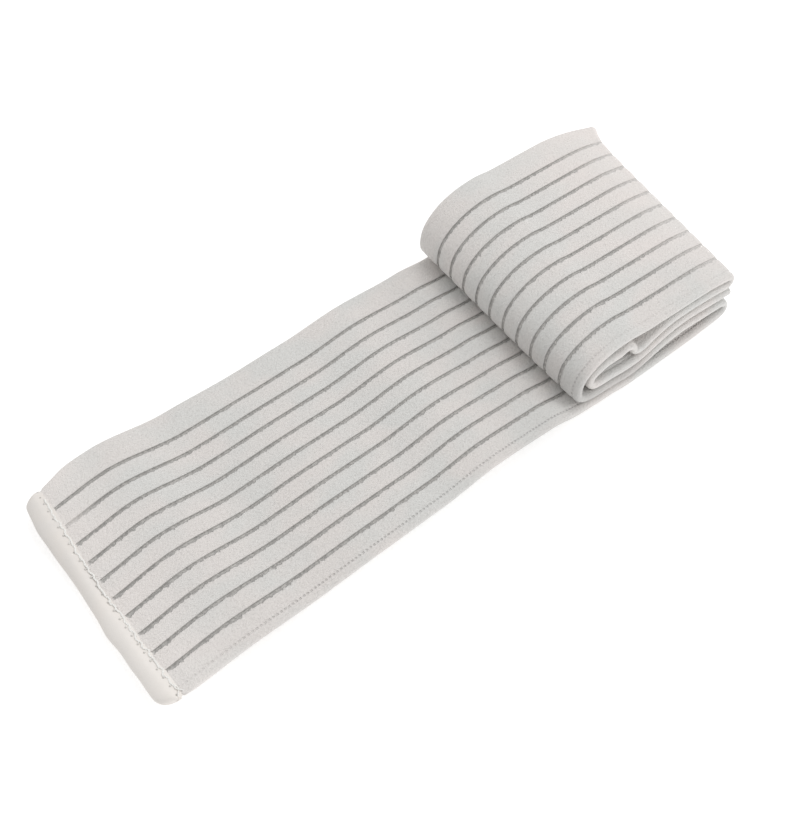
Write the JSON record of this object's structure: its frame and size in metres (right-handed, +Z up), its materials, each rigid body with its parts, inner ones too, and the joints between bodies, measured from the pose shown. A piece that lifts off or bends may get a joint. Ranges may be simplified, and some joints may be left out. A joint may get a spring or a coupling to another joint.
{
  "type": "elastic support band",
  "caption": "Pale ribbed knitted elastic support band with thin grey lines, flat at its bound end and folded into a low roll at the other end.",
  "frame": {"origin": "on the surface that the band lies on, under the middle of its overall box", "axes": "+X along the strip from the bound end to the roll, +Y across it to the far edge, +Z up"},
  "size_m": [0.2228, 0.0808, 0.0225],
  "materials": {
    "ribbed_knit": "soft matt ribbed knit with thin recessed grey lines along its length",
    "binding_tape": "smooth matt white tape, overstitched along its inner edge"
  },
  "bodies": {
    "root": {"band": "ribbed_knit", "end_binding": "binding_tape"}
  },
  "joints": []
}
